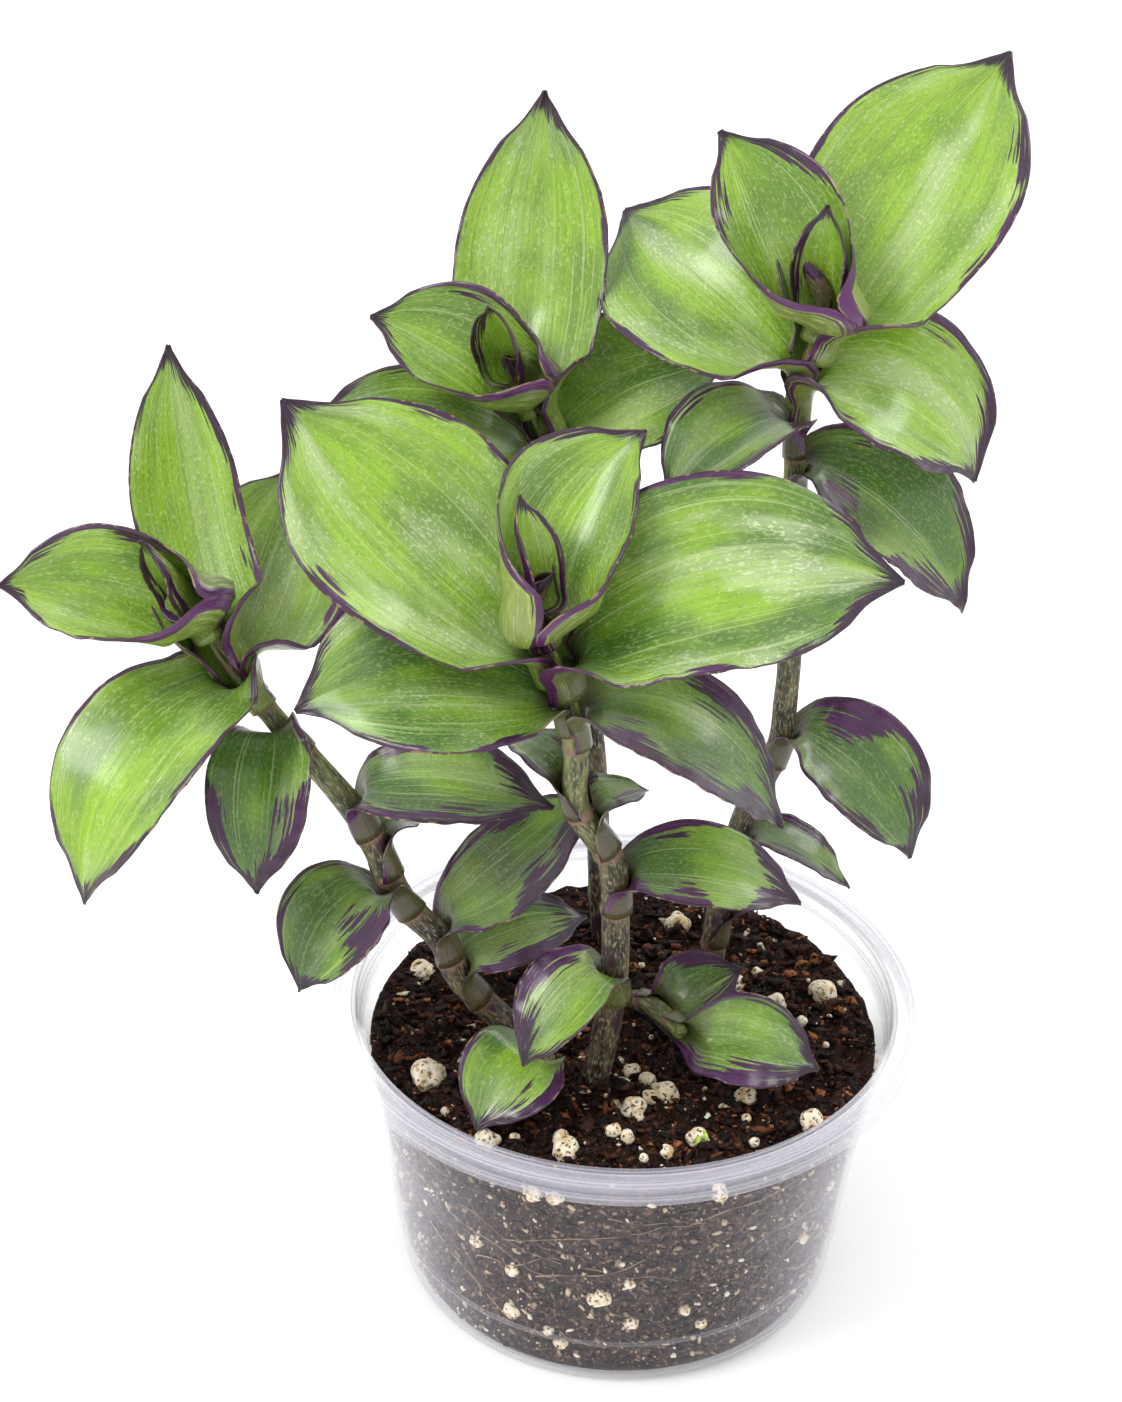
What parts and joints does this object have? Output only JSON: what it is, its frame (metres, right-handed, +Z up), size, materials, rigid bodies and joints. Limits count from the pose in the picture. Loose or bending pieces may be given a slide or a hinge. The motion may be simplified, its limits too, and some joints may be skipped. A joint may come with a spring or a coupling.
{
  "type": "potted callisia soconuscensis",
  "caption": "Trailing houseplant with upright leafy shoots and purple-edged green leaves, rooted in soil in a round clear plastic tub that stands on a table.",
  "frame": {"origin": "middle of the tub's flat base, on the surface it stands on", "axes": "+Z up, +X to the right seen from the front, +Y away from the front"},
  "size_m": [0.183, 0.1158, 0.2392],
  "materials": {
    "tub": "clear moulded plastic, slightly hazy",
    "soil": "damp peat and bark crumbs with lumps of perlite",
    "stem": "olive brown with pale flecks, pink at the nodes",
    "young_leaf": "satin yellow-green with thin purple margins",
    "old_leaf": "satin dark green with purple patches"
  },
  "bodies": {
    "root": {"leaf_back_cup": "young_leaf", "leaf_back_inner": "young_leaf", "leaf_back_low_left": "young_leaf", "leaf_back_low_right": "young_leaf", "leaf_back_upright": "young_leaf", "leaf_front_cup": "young_leaf", "leaf_front_foot": "old_leaf", "leaf_front_inner": "young_leaf", "leaf_front_left": "young_leaf", "leaf_front_low_left": "young_leaf", "leaf_front_low_right": "old_leaf", "leaf_front_mid_right": "old_leaf", "leaf_front_node_left": "old_leaf", "leaf_front_node_right": "old_leaf", "leaf_front_right": "young_leaf", "leaf_left_cup": "young_leaf", "leaf_left_foot": "old_leaf", "leaf_left_hanging": "old_leaf", "leaf_left_inner": "young_leaf", "leaf_left_low_cross": "old_leaf", "leaf_left_low_front": "young_leaf", "leaf_left_low_right": "young_leaf", "leaf_left_mid_left": "old_leaf", "leaf_left_mid_right": "old_leaf", "leaf_left_small": "old_leaf", "leaf_left_upright": "young_leaf", "leaf_rear_left_a": "young_leaf", "leaf_rear_left_b": "young_leaf", "leaf_rear_left_c": "old_leaf", "leaf_right_cup": "young_leaf", "leaf_right_foot": "old_leaf", "leaf_right_inner": "young_leaf", "leaf_right_low_hang": "old_leaf", "leaf_right_low_left": "young_leaf", "leaf_right_low_right": "young_leaf", "leaf_right_low_small": "old_leaf", "leaf_right_mid_left": "old_leaf", "leaf_right_mid_right": "old_leaf", "leaf_right_upright": "young_leaf", "leaf_side_back": "young_leaf", "leaf_side_tip": "young_leaf", "leaf_sprout": "young_leaf", "soil": "soil", "stem_back": "stem", "stem_front": "stem", "stem_left": "stem", "stem_rear_left": "stem", "stem_right": "stem", "stem_side": "stem", "stem_sprout": "stem", "tub": "tub"}
  },
  "joints": []
}
